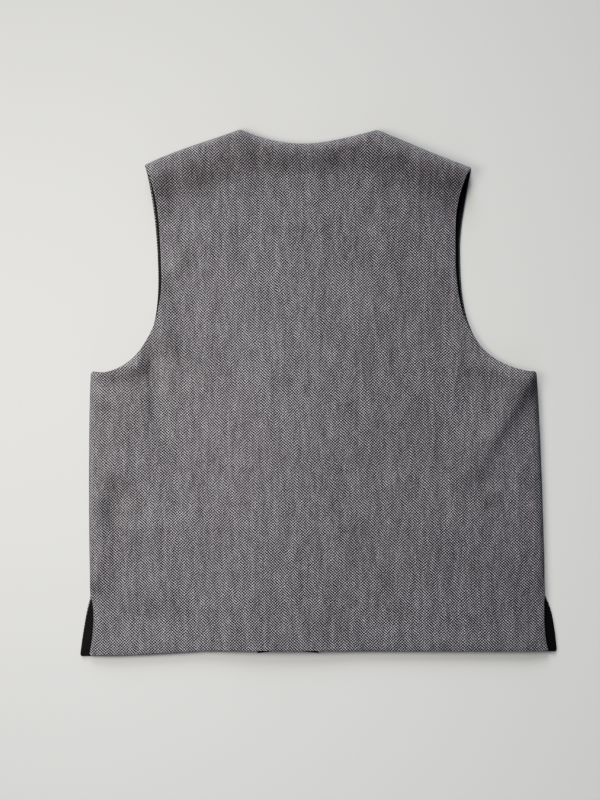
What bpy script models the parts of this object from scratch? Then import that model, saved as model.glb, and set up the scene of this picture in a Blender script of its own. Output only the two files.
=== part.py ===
"""A suit waistcoat laid flat on its fronts, its back uppermost.

Metres, +Z up. +Y points to the neck and -X to the wearer's left. The fronts lie on z = 0 and the middle
of the garment's box is over the origin. Sizes below are in millimetres, and become metres in the meshes.

From the floor up lie the buttons, the right front and its lining, the left front and its lining, and the
back. Every panel is one outline filled with triangles, raised by a height worked out at each point, with a
wall from a Solidify modifier. The outlines are tables, one row for each corner or turn of the cut edge.
"""

import math
from collections import namedtuple

import bmesh
import bpy
import numpy as np
from mathutils import Vector, geometry

MM = 0.001
COLLECTION = "suit_waistcoat"

# Walls and the air between them.
WOOL = 2.0
LINING = 1.0
SEAM_GAP = 0.3
LAID_GAP = 0.7
LINING_LIFT = WOOL + SEAM_GAP
STACK = LINING_LIFT + LINING + LAID_GAP

# Height of the back's upper face over the floor, and the bands along its edges that stand higher: their
# full rise up to near, none of it from far inwards. Beside the open vents the side bands keep a share of it.
BODY = 7.6
Band = namedtuple("Band", "near far rise")
BACK_BANDS = {
    "side_left": Band(8, 36, 2.6),
    "side_right": Band(12, 44, 2.6),
    "shoulder": Band(10, 56, 5.2),
    "neck": Band(6, 40, 3.0),
}
VENT_SHARE = 0.35
VENT_BAND = 26.0
VENT_EDGE = STACK + WOOL + SEAM_GAP

# How softly two heights blend: the back over what lies under it, and the neck's band into the shoulders'.
SOFTNESS = 1.2
BAND_SOFTNESS = 0.5

# The cloth rolls from the back to the fronts at the seams: how far in the roll starts, the shares of that
# where its points lie, and the seam's height. Near their ends the seams part a little.
FRONT_ROLL = 3.5
BACK_ROLL = {"side_left": 6.5, "side_right": 11.0, "shoulder": 8.0}
BACK_ROLL_SHARES = (0.02, 0.18, 0.52, 1.0)
FRONT_ROLL_SHARES = (0.03, 0.3, 1.0)
SEAM_STEP = 0.85
SEAM_HEIGHT = FRONT_ROLL + SEAM_STEP
SEAM_END = 15.0
SEAM_END_DROP = 1.8
SEAM_END_RISE = 2.0
VENT_TOP = -232.0
VENT_EASE = 30.0

# Where the left front comes down to the floor beside the edge of the right one, and where the back comes
# down from the lapped fronts.
LAP_START = 3.0
LAP_END = 17.0
LAP_LINES = 4
BACK_LAP_START = 2.0
BACK_LAP_END = 42.0

# Buttons under the lap of the fronts.
BUTTON_WIDTH = 15.0
BUTTON_THICK = 2.6
BUTTON_COUNT = 4
BUTTON_SPACING = 88.0
BUTTON_LAST = -235.0
BUTTON_INSET = 18.0
BUTTON_BEVEL = 1.4
BUTTON_RIM = 1.6
BUTTON_DISH = 0.5
BUTTON_SIDES = 18
HOLE_COUNT = 4
HOLE_WIDTH = 1.8
HOLE_SIDES = 6
HOLE_SPREAD = 1.7
MERGE = 0.00005

# How far round a button the fronts are held up, and the rings of points that shape that: radius and number
# of points. The back spans from button to button, so it has one soft ridge over the row of them.
BUTTON_LIFT = BUTTON_THICK + SEAM_GAP
BUTTON_FLAT = BUTTON_WIDTH / 2 + 1
FRONT_DIMPLE = 25.0
BACK_RIDGE = 52.0
DIMPLE_RINGS = ((0.0, 1), (BUTTON_FLAT, 8), (14.0, 9), (19.5, 9), (FRONT_DIMPLE, 10))

# How finely the panels are divided: the spacing of points along edges, over the panels and along folds, the
# lines of points beside a fold's crest in shares of its width, and how near a point may lie to others.
EDGE_STEP = 15.0
BACK_STEP = 19.0
FRONT_STEP = 34.0
FOLD_STEP = 18.0
FOLD_OFFSETS = (0.0, -0.9, 0.9, -1.8, 1.8)
GRID_SHARE = 0.62
GRID_CLEAR = 8.5
GUIDE_CLEAR = 5.0
BACK_GUIDE_GAP = 8.0
FRONT_GUIDE_GAP = 3.0
CORNER_SHARES = (0.0, 0.33, 0.67, 1.0)
STRAIGHT = 0.9
LAP_STEP = 6.0

# One row for each point where the cut edge turns, anticlockwise seen from above. A row names the edge that
# starts at it. arrive and leave are the edge's directions there in degrees from +X, pull and reach the
# lengths of its handles, and round is how far a corner is cut. turn and turn_end are how far the cloth is
# turned in past the lining at the two ends of the edge.
Row = namedtuple("Row", "edge x y arrive pull leave reach round turn turn_end")

BACK_ROWS = [
    Row("hem", -258.5, -295.6, 268, 15, 0, 40, 2, 0, 0),
    Row("hem", -130.0, -291.2, 2, 50, 0, 60, 0, 0, 0),
    Row("vent", 259.0, -291.0, 0, 60, 94, 15, 2, 0, 0),
    Row("side_right", 255.3, VENT_TOP, 93, 15, 90, 60, 0, 0, 0),
    Row("armhole", 246.0, 24.5, 94, 60, 174.6, 73, 4, 0, 0),
    Row("armhole", 154.7, 156.5, 90.5, 69, 90.5, 35, 0, 0, 0),
    Row("shoulder", 171.3, 254.3, 61, 37, 159.3, 20, 1.5, 0, 0),
    Row("neck", 67.0, 297.3, 156.6, 31, 193, 54, 6, 0, 0),
    Row("shoulder", -88.5, 296.9, 158.7, 80, 201.6, 39, 6, 0, 0),
    Row("armhole", -195.0, 256.4, 206, 38, 295, 42, 1.5, 0, 0),
    Row("armhole", -177.6, 133.4, 274, 40, 274, 38, 0, 0, 0),
    Row("side_left", -257.0, 23.0, 176, 62, 266, 40, 3, 0, 0),
    Row("vent", -257.0, VENT_TOP, 274, 40, 268, 15, 0, 0, 0),
]

FRONT_LEFT_ROWS = [
    Row("hem", -268.3, -296.6, 262, 15, 2, 40, 4, 0.6, 0.6),
    Row("hem", -60.0, -290.4, 0, 60, 0, 20, 0, 0.6, 0.6),
    Row("front", 0.0, -292.6, 354, 20, 85, 60, 1.5, 1.2, 1.2),
    Row("neck", 50.0, 110.0, 82, 60, 135, 40, 8, 1.2, 1.2),
    Row("shoulder", -88.5, 296.9, 118, 40, 201.6, 39, 3, 5.0, 5.0),
    Row("armhole", -195.8, 257.0, 206, 38, 284, 42, 1.5, 2.2, 0.7),
    Row("armhole", -180.9, 133.4, 271, 42, 271, 58, 0, 0.7, 0.7),
    Row("side_left", -256.6, 24.4, 172, 50, 266, 40, 3, 5.0, 5.0),
    Row("vent", -257.0, VENT_TOP, 274, 40, 259, 15, 0, 3.0, 0.6),
]

FRONT_RIGHT_ROWS = [
    Row("hem", -69.5, -293.4, 265, 60, 6, 20, 1.5, 0.6, 0.6),
    Row("hem", -20.0, -290.4, 0, 15, 0, 60, 0, 0.6, 0.6),
    Row("vent", 268.4, -291.0, 0, 60, 98, 15, 4, 0.6, 2.0),
    Row("side_right", 255.5, VENT_TOP, 101, 15, 90, 60, 0, 5.0, 5.0),
    Row("armhole", 246.0, 24.5, 94, 60, 172, 66, 4, 1.4, 1.4),
    Row("armhole", 160.0, 156.5, 91.5, 66, 91.5, 32, 0, 0.7, 0.7),
    Row("shoulder", 172.6, 255.0, 80, 39, 159.3, 20, 1.5, 5.0, 5.0),
    Row("neck", 67.0, 297.3, 156.6, 31, 240, 40, 3, 1.2, 1.2),
    Row("front", -30.0, 110.0, 232, 40, 266, 60, 8, 1.2, 1.2),
]

# The largest folds of the back: soft ridges, or troughs where rise is below zero, from end to end.
Fold = namedtuple("Fold", "x0 y0 x1 y1 width rise")

BACK_FOLDS = [
    Fold(-184, 52, -152, -128, 10, -2.4),
    Fold(-168, 62, -132, -112, 13, 1.3),
    Fold(-206, 58, -238, 26, 15, 2.2),
    Fold(242, 12, 176, -90, 12, 3.0),
    Fold(250, -22, 186, -108, 10, -1.6),
    Fold(-138, 182, -170, 131, 7, 1.6),
    Fold(-160, 124, -162, 52, 8, -1.6),
    Fold(-176, 190, -104, 187, 6, 0.9),
    Fold(-238, -24, -240, -30, 14, -1.6),
    Fold(-214, -104, -236, -116, 12, -1.8),
    Fold(-214, -136, -146, -131, 12, 1.3),
    Fold(146, 222, 150, 120, 11, 1.6),
    Fold(-197, -268, -140, -270, 12, -1.2),
    Fold(58, -110, 106, -88, 9, 0.9),
    Fold(54, -48, 34, -88, 9, 0.9),
]

COLOURS = {
    "wool": (0.165, 0.155, 0.16, 1.0),
    "lining": (0.007, 0.007, 0.008, 1.0),
    "button": (0.035, 0.03, 0.03, 1.0),
}


def curve(start, leave, reach, end, arrive, pull, step):
    """Points of a smooth edge from start up to, and not with, its end."""
    start = np.array(start)
    end = np.array(end)
    first = start + reach * np.array([math.cos(math.radians(leave)), math.sin(math.radians(leave))])
    second = end - pull * np.array([math.cos(math.radians(arrive)), math.sin(math.radians(arrive))])
    count = max(2, round(np.linalg.norm(end - start) / step))
    t = np.linspace(0, 1, count, endpoint=False)[:, None]
    return (1 - t) ** 3 * start + 3 * (1 - t) ** 2 * t * first + 3 * (1 - t) * t * t * second + t**3 * end


def edges_of(rows, step):
    """The outline's edges in order, each with its row and its points."""
    edges = []
    for row, after in zip(rows, rows[1:] + rows[:1]):
        start, end = (row.x, row.y), (after.x, after.y)
        points = curve(start, row.leave, row.reach, end, after.arrive, after.pull, step)
        edges.append((row, points))
    return edges


def inward_normals(points):
    """Unit normals of each side of a closed anticlockwise loop, to its inside."""
    along = np.roll(points, -1, axis=0) - points
    along /= np.linalg.norm(along, axis=1)[:, None]
    return np.column_stack([-along[:, 1], along[:, 0]])


def outline(rows, step, lining=False):
    """The closed outline of a panel, its corners rounded, or of its lining, set in by what is turned in."""
    points = []
    insets = []
    cuts = {}
    for row, edge in edges_of(rows, step):
        if row.round:
            cuts[len(points)] = row.round
        share = np.linspace(0, 1, len(edge), endpoint=False)
        points.extend(edge)
        insets.extend(row.turn + (row.turn_end - row.turn) * share)
    points = np.array(points)
    if lining:
        points = inset_loop(points, np.array(insets))
    return rounded(points, cuts)


def inset_loop(points, insets):
    """Moves each side of a loop in by its own distance. Sides that turn meet at a corner, others midway."""
    normals = inward_normals(points)
    moved = points.copy()
    for index, point in enumerate(points):
        before, after = normals[index - 1], normals[index]
        near, far = insets[index - 1], insets[index]
        turn = float(before @ after)
        if turn > STRAIGHT:
            moved[index] = point + (before + after) * 0.25 * (near + far)
        else:
            step = near * (before - turn * after) + far * (after - turn * before)
            moved[index] = point + step / (1 - turn**2)
    return moved


def rounded(points, cuts):
    """Rounds the corners of a loop, each cut back by its own distance."""
    result = []
    for index, point in enumerate(points):
        if index not in cuts:
            result.append(point)
            continue
        back = points[index - 1] - point
        on = points[(index + 1) % len(points)] - point
        start = point + back / np.linalg.norm(back) * cuts[index]
        end = point + on / np.linalg.norm(on) * cuts[index]
        for t in CORNER_SHARES:
            result.append((1 - t) ** 2 * start + 2 * t * (1 - t) * point + t * t * end)
    return np.array(result)


def line_of(rows, name):
    """The named edges of an outline, each as an open line with both its ends."""
    lines = []
    edges = edges_of(rows, EDGE_STEP)
    for index, (row, points) in enumerate(edges):
        if row.edge == name:
            following = edges[(index + 1) % len(edges)][1][0]
            lines.append(np.vstack([points, following]))
    return lines


def distance(lines, points):
    """Distance of each point to the nearest of some open lines."""
    nearest = np.full(len(points), np.inf)
    for line in lines:
        for start, end in zip(line[:-1], line[1:]):
            along = end - start
            share = np.clip((points - start) @ along / (along @ along), 0, 1)
            gap = np.linalg.norm(points - start - share[:, None] * along, axis=1)
            nearest = np.minimum(nearest, gap)
    return nearest


def inside(loop, points):
    """Whether each point lies within a closed loop."""
    result = np.zeros(len(points), dtype=bool)
    x, y = points[:, 0], points[:, 1]
    for start, end in zip(loop, np.roll(loop, -1, axis=0)):
        crosses = (start[1] > y) != (end[1] > y)
        slope = (end[0] - start[0]) / (end[1] - start[1]) if end[1] != start[1] else 0.0
        result ^= crosses & (x < start[0] + (y - start[1]) * slope)
    return result


def closed(loop):
    return np.vstack([loop, loop[:1]])


def ease(low, high, value):
    """Rises smoothly from 0 at low to 1 at high."""
    share = np.clip((value - low) / (high - low), 0, 1)
    return share * share * (3 - 2 * share)


def highest(one, other, softness):
    """The higher of two heights, with the corner between them filled in softly."""
    return 0.5 * (one + other + np.sqrt((one - other) ** 2 + softness**2))


def depth_outside(loop, points):
    """How far outside a panel each point lies, 0 within it."""
    return np.where(inside(loop, points), 0.0, distance([closed(loop)], points))


def quarter_round(depth, width):
    """A roll of the cloth: 0 at the seam and 1 from width inwards, upright at the seam."""
    return np.sqrt(1 - np.clip(1 - depth / width, 0, 1) ** 2)


def button_places():
    """Middles of the buttons, in a row beside the edge of the right front."""
    edge = line_of(FRONT_RIGHT_ROWS, "front")[0]
    places = []
    for number in range(BUTTON_COUNT):
        y = BUTTON_LAST + number * BUTTON_SPACING
        x = np.interp(y, edge[::-1, 1], edge[::-1, 0]) + BUTTON_INSET
        places.append((float(x), y))
    return places


def button_lift(points):
    """How far the buttons under the fronts hold them up."""
    lift = np.zeros(len(points))
    for place in button_places():
        away = np.linalg.norm(points - np.array(place), axis=1)
        lift = np.maximum(lift, BUTTON_LIFT * (1 - ease(BUTTON_FLAT, FRONT_DIMPLE, away)))
    return lift


def row_lift(points):
    """How far the row of buttons holds the back up."""
    return BUTTON_LIFT * (1 - ease(BUTTON_FLAT, BACK_RIDGE, distance([np.array(button_places())], points)))


def fold_rise(folds, points):
    """The sum of the folds' heights at each point."""
    rise = np.zeros(len(points))
    for fold in folds:
        start = np.array([fold.x0, fold.y0], dtype=float)
        along = np.array([fold.x1, fold.y1]) - start
        length = np.linalg.norm(along)
        run = (points - start) @ along / length
        aside = (points - start) @ np.array([-along[1], along[0]]) / length
        ends = ease(-fold.width, fold.width, run) * ease(-fold.width, fold.width, length - run)
        rise += fold.rise * ends * np.exp(-((aside / fold.width) ** 2))
    return rise


def seam_share(points):
    """1 along a closed side seam, falling to 0 where the vent opens."""
    return ease(VENT_TOP, VENT_TOP + VENT_EASE, points[:, 1])


def seam_end_share(rows, points):
    """1 at each end of the shoulder and side seams, where they part a little, falling to 0 along them."""
    seams = line_of(rows, "shoulder") + line_of(rows, "side_left") + line_of(rows, "side_right")
    ends = [line[end] for line in seams for end in (0, -1)]
    to_end = np.min([np.linalg.norm(points - end, axis=1) for end in ends], axis=0)
    return 1 - ease(0, SEAM_END, to_end)


def front_height(rows, points):
    """Height of a front's lower face: flat on the floor, rolled up to the side and shoulder seams."""
    side = distance(line_of(rows, "side_left") + line_of(rows, "side_right"), points)
    shoulder = distance(line_of(rows, "shoulder"), points)
    side_share = (1 - quarter_round(side, FRONT_ROLL)) * seam_share(points)
    shoulder_share = 1 - quarter_round(shoulder, FRONT_ROLL)
    rise = FRONT_ROLL - SEAM_END_DROP * seam_end_share(rows, points)
    return np.maximum(side_share, shoulder_share) * rise


def right_front_height(points):
    return front_height(FRONT_RIGHT_ROWS, points) + button_lift(points)


def left_front_height(points):
    """The left front lies on the right one where they lap, and on the floor beside it."""
    away = depth_outside(outline(FRONT_RIGHT_ROWS, LAP_STEP), points)
    lapped = STACK * (1 - ease(LAP_START, LAP_END, away))
    return front_height(FRONT_LEFT_ROWS, points) + button_lift(points) + lapped


def band_rise(name, depth):
    """How much higher the back stands at some depth from one of its edges."""
    band = BACK_BANDS[name]
    return band.rise * (1 - ease(band.near, band.far, depth))


def back_height(points):
    """Height of the back's upper face."""
    names = ("side_left", "side_right", "shoulder", "neck", "vent")
    depth = {name: distance(line_of(BACK_ROWS, name), points) for name in names}
    closed_seam = seam_share(points)

    # The designed surface: raised along the sides, the shoulders and the neck, low at the open vents.
    sides = band_rise("side_left", depth["side_left"]) + band_rise("side_right", depth["side_right"])
    sides *= VENT_SHARE + (1 - VENT_SHARE) * closed_seam
    shoulders = band_rise("shoulder", depth["shoulder"])
    tops = highest(shoulders, band_rise("neck", depth["neck"]), BAND_SOFTNESS)
    height = BODY + sides + tops + fold_rise(BACK_FOLDS, points)
    height -= (height - VENT_EDGE) * (1 - ease(0, VENT_BAND, depth["vent"])) * (1 - closed_seam)

    # It never lies lower than what is under it.
    off_right = depth_outside(outline(FRONT_RIGHT_ROWS, LAP_STEP), points)
    off_left = depth_outside(outline(FRONT_LEFT_ROWS, LAP_STEP), points)
    lapped = 1 - ease(BACK_LAP_START, BACK_LAP_END, np.maximum(off_right, off_left))
    floor = STACK + WOOL + STACK * lapped + row_lift(points)
    height = highest(height, floor, SOFTNESS)

    # It rolls down to the seams.
    seam_line = SEAM_HEIGHT + SEAM_END_RISE * seam_end_share(BACK_ROWS, points)
    for name in ("side_left", "side_right"):
        seam = height + (seam_line - height) * closed_seam
        height = seam + (height - seam) * quarter_round(depth[name], BACK_ROLL[name])
    return seam_line + (height - seam_line) * quarter_round(depth["shoulder"], BACK_ROLL["shoulder"])


def lattice(loop, step, clear):
    """Points of a triangular grid inside a loop, clear of its edge."""
    low, high = loop.min(axis=0), loop.max(axis=0)
    rise = step * math.sqrt(3) / 2
    found = []
    for row in range(math.ceil((high[1] - low[1]) / rise)):
        y = low[1] + (row + 0.5) * rise
        for column in range(math.ceil((high[0] - low[0]) / step) + 1):
            found.append((low[0] + (column + 0.5 * (row % 2)) * step, y))
    found = np.array(found)
    found = found[inside(loop, found)]
    return found[distance([closed(loop)], found) > clear]


def rings(rows, loop, name, depths):
    """Lines of points along the named seams, at some depths inside a loop, to shape a roll there."""
    lines = []
    for line in line_of(rows, name):
        along = line[-1] - line[0]
        inward = np.array([-along[1], along[0]]) / np.linalg.norm(along)
        for depth in depths:
            points = line + inward * depth
            fits = inside(loop, points) & (distance([closed(loop)], points) > 0.9 * depth)
            lines.append(points[fits])
    return [line for line in lines if len(line) > 1]


def fold_guides(folds):
    """Points along each fold's crest and its two flanks."""
    guides = []
    for fold in folds:
        start = np.array([fold.x0, fold.y0], dtype=float)
        along = np.array([fold.x1, fold.y1]) - start
        length = np.linalg.norm(along)
        across = np.array([-along[1], along[0]]) / length
        for offset in FOLD_OFFSETS:
            for share in np.linspace(0, 1, max(2, round(length / FOLD_STEP))):
                guides.append(start + along * share + across * offset * fold.width)
    return guides


def dimple_guides():
    """Rings of points round each button, to shape the lift over it."""
    guides = []
    for place in button_places():
        for radius, count in DIMPLE_RINGS:
            for turn in range(count):
                angle = math.tau * turn / count
                guides.append(np.array(place) + radius * np.array([math.cos(angle), math.sin(angle)]))
    return guides


def spaced(wanted, fixed, gap):
    """Of the wanted points, in order, those that keep a gap to the fixed ones and to each other."""
    kept = list(fixed)
    added = []
    for point in wanted:
        if np.min(np.linalg.norm(np.array(kept) - point, axis=1)) > gap:
            kept.append(point)
            added.append(point)
    return added


def triangulate(loop, inner_loops, lines, points):
    """Triangles that fill a loop, with the inner loops and lines as edges of the fill."""
    places = [Vector(point) for point in loop]
    edges = []
    for ring in inner_loops:
        first = len(places)
        places.extend(Vector(point) for point in ring)
        edges.extend((first + index, first + (index + 1) % len(ring)) for index in range(len(ring)))
    for line in lines:
        first = len(places)
        places.extend(Vector(point) for point in line)
        edges.extend((first + index, first + index + 1) for index in range(len(line) - 1))
    places.extend(Vector(point) for point in points)
    filled = geometry.delaunay_2d_cdt(places, edges, [list(range(len(loop)))], 1, 1e-4)
    return np.array([tuple(point) for point in filled[0]]), filled[2]


def surface(name, flat, heights, faces):
    """An open mesh in metres, its faces wound upwards."""
    mesh = bpy.data.meshes.new(name)
    heights = np.array(heights)[:, None]
    mesh.from_pydata(np.hstack([flat, heights]) * MM, [], [list(face) for face in faces])
    shape = bmesh.new()
    shape.from_mesh(mesh)
    loose = [point for point in shape.verts if not point.link_faces]
    bmesh.ops.delete(shape, geom=loose, context="VERTS")
    shape.normal_update()
    for face in shape.faces:
        if face.normal.z < 0:
            face.normal_flip()
    return mesh, shape


def finish(name, mesh, shape, thickness, material, collection):
    """Makes the object of a panel: its open surface with a wall on the side away from its normals."""
    shape.to_mesh(mesh)
    shape.free()
    mesh.shade_smooth()
    mesh.materials.append(material)
    panel = bpy.data.objects.new(name, mesh)
    collection.objects.link(panel)
    wall = panel.modifiers.new("wall", "SOLIDIFY")
    wall.thickness = thickness * MM
    wall.offset = -1
    wall.use_even_offset = True
    return panel


def moved_out(shape, distance_mm):
    """Moves a surface along its normals, keeping the distance even over bends."""
    shape.normal_update()
    steps = [point.normal * point.calc_shell_factor() * distance_mm * MM for point in shape.verts]
    for point, step in zip(shape.verts, steps):
        point.co += step


def usable(loop, guides):
    """Of some points, those that lie inside a loop and clear of its edge."""
    guides = np.array(guides)
    guides = guides[inside(loop, guides)]
    return guides[distance([closed(loop)], guides) > GUIDE_CLEAR]


def with_grid(loop, step, fixed, guides, gap):
    """The guide points that keep their gap, and a grid that fills what is left."""
    guides = spaced(guides, fixed, gap)
    grid = spaced(lattice(loop, step, GRID_CLEAR), np.vstack([fixed] + guides), GRID_SHARE * step)
    return guides + grid


def make_back(material, collection):
    loop = outline(BACK_ROWS, EDGE_STEP)
    lines = []
    for name, roll in BACK_ROLL.items():
        lines += rings(BACK_ROWS, loop, name, [roll * share for share in BACK_ROLL_SHARES])
    guides = usable(loop, fold_guides(BACK_FOLDS))
    points = with_grid(loop, BACK_STEP, np.vstack([loop] + lines), guides, BACK_GUIDE_GAP)
    flat, faces = triangulate(loop, [], lines, points)
    mesh, shape = surface("back", flat, back_height(flat), faces)
    finish("back", mesh, shape, WOOL, material, collection)


def lap_guides():
    """Lines of points beside the right front's edges, where the left front comes down."""
    guides = []
    for edge in line_of(FRONT_RIGHT_ROWS, "front") + line_of(FRONT_RIGHT_ROWS, "neck"):
        along = np.diff(edge, axis=0)
        outward = np.column_stack([along[:, 1], -along[:, 0]]) / np.linalg.norm(along, axis=1)[:, None]
        for depth in np.linspace(LAP_START, LAP_END, LAP_LINES):
            guides.extend(edge[:-1] + outward * depth)
    return guides


def make_front(side, rows, height, wool, lining, collection):
    """A front and its lining, which is the front's surface within the turned-in edge, moved out."""
    loop = outline(rows, EDGE_STEP)
    inner = outline(rows, EDGE_STEP, lining=True)
    depths = [FRONT_ROLL * share for share in FRONT_ROLL_SHARES]
    lines = rings(rows, loop, "side_" + side, depths) + rings(rows, loop, "shoulder", depths)
    guides = dimple_guides()
    if side == "left":
        guides += lap_guides()
    fixed = np.vstack([loop, inner] + lines)
    points = with_grid(loop, FRONT_STEP, fixed, usable(loop, guides), FRONT_GUIDE_GAP)
    flat, faces = triangulate(loop, [inner], lines, points)
    heights = height(flat)

    mesh, shape = surface("front_" + side, flat, heights, faces)
    bmesh.ops.reverse_faces(shape, faces=shape.faces)
    finish("front_" + side, mesh, shape, WOOL, wool, collection)

    mesh, shape = surface("front_lining_" + side, flat, heights, faces)
    moved_out(shape, LINING_LIFT + LINING)
    within = inside(inner, np.array([flat[list(face)].mean(axis=0) for face in faces]))
    turned_in = [face for face, keep in zip(list(shape.faces), within) if not keep]
    bmesh.ops.delete(shape, geom=turned_in, context="FACES")
    finish("front_lining_" + side, mesh, shape, LINING, lining, collection)


def make_button(number, place, material, collection, cutters):
    """A plain button: a turned disc with a rim and a shallow dish, face down on the floor."""
    radius = BUTTON_WIDTH / 2
    profile = [
        (0.0, BUTTON_THICK),
        (radius - BUTTON_BEVEL, BUTTON_THICK),
        (radius, BUTTON_THICK / 2),
        (radius - BUTTON_BEVEL / 3, 0.0),
        (radius - BUTTON_RIM, 0.0),
        (radius - BUTTON_RIM - BUTTON_DISH, BUTTON_DISH),
        (0.0, BUTTON_DISH),
    ]
    mesh = bpy.data.meshes.new(f"button_{number}")
    points = [(x * MM, 0, z * MM) for x, z in profile]
    mesh.from_pydata(points, [(index, index + 1) for index in range(len(points) - 1)], [])
    mesh.materials.append(material)
    button = bpy.data.objects.new(f"button_{number}", mesh)
    collection.objects.link(button)
    button.location = (place[0] * MM, place[1] * MM, 0)
    turned = button.modifiers.new("turned", "SCREW")
    turned.steps = BUTTON_SIDES
    turned.render_steps = BUTTON_SIDES
    turned.use_merge_vertices = True
    turned.merge_threshold = MERGE
    holes = button.modifiers.new("holes", "BOOLEAN")
    holes.object = make_hole_cutter(number, place, cutters)


def make_hole_cutter(number, place, cutters):
    """Pins that cut a button's thread holes, all in one object."""
    mesh = bpy.data.meshes.new(f"button_holes_{number}")
    shape = bmesh.new()
    for turn in range(HOLE_COUNT):
        angle = math.tau * (turn + 0.5) / HOLE_COUNT
        pin = bmesh.ops.create_cone(
            shape,
            cap_ends=True,
            segments=HOLE_SIDES,
            radius1=HOLE_WIDTH / 2 * MM,
            radius2=HOLE_WIDTH / 2 * MM,
            depth=3 * BUTTON_THICK * MM,
        )
        aside = Vector((math.cos(angle), math.sin(angle), 0)) * HOLE_SPREAD * MM
        bmesh.ops.translate(shape, verts=pin["verts"], vec=aside)
    shape.to_mesh(mesh)
    shape.free()
    cutter = bpy.data.objects.new(f"button_holes_{number}", mesh)
    cutters.objects.link(cutter)
    cutter.location = (place[0] * MM, place[1] * MM, BUTTON_THICK / 2 * MM)
    cutter.hide_render = True
    cutter.display_type = "WIRE"
    return cutter


def make_material(name, colour, roughness):
    material = bpy.data.materials.new(name)
    material.use_nodes = True
    shader = material.node_tree.nodes["Principled BSDF"]
    shader.inputs["Base Color"].default_value = colour
    shader.inputs["Roughness"].default_value = roughness
    return material


def clear_scene():
    for thing in list(bpy.data.objects):
        bpy.data.objects.remove(thing, do_unlink=True)


def main():
    clear_scene()
    collection = bpy.data.collections.new(COLLECTION)
    cutters = bpy.data.collections.new("cutters")
    bpy.context.scene.collection.children.link(collection)
    bpy.context.scene.collection.children.link(cutters)
    wool = make_material("grey_wool", COLOURS["wool"], 0.9)
    lining = make_material("black_lining", COLOURS["lining"], 0.55)
    polyester = make_material("dark_button", COLOURS["button"], 0.35)
    make_back(wool, collection)
    make_front("left", FRONT_LEFT_ROWS, left_front_height, wool, lining, collection)
    make_front("right", FRONT_RIGHT_ROWS, right_front_height, wool, lining, collection)
    for number, place in enumerate(button_places(), start=1):
        make_button(number, place, polyester, collection, cutters)


main()
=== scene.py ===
# %% [markdown]
# # A suit waistcoat laid flat, its back uppermost
#
# The real thing is cut from a two-tone grey wool: a whole back, two fronts that lap at the buttons, and a
# black lining that covers the inside of the fronts up to their turned-in edges. It lies face down, so the
# pile is, from the floor up: buttons, right front, its lining, left front, its lining, back.
#
# Every panel here is a curved sheet that is worked out: an outline in the plane, filled with small
# triangles, and a height at each point. That suits cloth better than pushing a grid about by hand,
# because one height function holds everything that shapes the sheet, and the lining can use the same one
# as its front.

# %% Load the frame
import math
from collections import namedtuple

import bpy
import numpy as np
from mathutils import Matrix, Vector, geometry, noise


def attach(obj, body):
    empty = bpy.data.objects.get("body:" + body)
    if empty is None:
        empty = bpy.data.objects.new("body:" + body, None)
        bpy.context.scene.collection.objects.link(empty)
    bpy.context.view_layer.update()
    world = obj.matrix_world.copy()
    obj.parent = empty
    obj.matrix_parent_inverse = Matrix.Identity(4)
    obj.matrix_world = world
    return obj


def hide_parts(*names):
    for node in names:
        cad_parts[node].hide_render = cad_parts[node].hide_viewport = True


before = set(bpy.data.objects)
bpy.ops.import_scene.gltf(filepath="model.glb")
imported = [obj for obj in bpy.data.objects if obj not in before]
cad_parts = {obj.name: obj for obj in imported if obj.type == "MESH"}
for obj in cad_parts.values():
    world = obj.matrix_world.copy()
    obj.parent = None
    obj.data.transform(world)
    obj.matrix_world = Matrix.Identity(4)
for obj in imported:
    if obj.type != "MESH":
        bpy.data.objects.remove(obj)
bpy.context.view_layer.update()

print("parts in the frame:", ", ".join(sorted(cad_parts)))

# %% [markdown]
# ## Sizes
#
# All sizes are in millimetres and become metres when a mesh is made. The cloth is a heavy wool 2 mm
# thick, the lining 1 mm. The stack height is what one front and its lining take up, with a little air.

# %% Sizes of the layers
MM = 0.001
WOOL = 2.0
LINING = 1.0
SEAM_GAP = 0.3
LAID_GAP = 0.7
LINING_LIFT = WOOL + SEAM_GAP
STACK = LINING_LIFT + LINING + LAID_GAP
BODY = 7.6
FRONT_ROLL = 3.5
SEAM_HEIGHT = 4.35
VENT_TOP = -228.0
VENT_EASE = 30.0
print("one front with its lining:", STACK, "mm; the back's face:", BODY, "mm over the floor")

# %% [markdown]
# ## The cut
#
# A tailor draws a pattern piece as a few points joined by fair curves. The tables hold just those: one
# row for each point where the cut edge turns, anticlockwise seen from above. A row names the edge that
# starts at it. arrive and leave are the edge's directions there, in degrees from +X, pull and reach the
# lengths of its handles, and round is how far a corner is cut back. turn and turn_end say how far the
# wool is turned in over the lining at the two ends of the edge.

# %% Pattern pieces
Row = namedtuple("Row", "edge x y arrive pull leave reach round turn turn_end")

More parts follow.
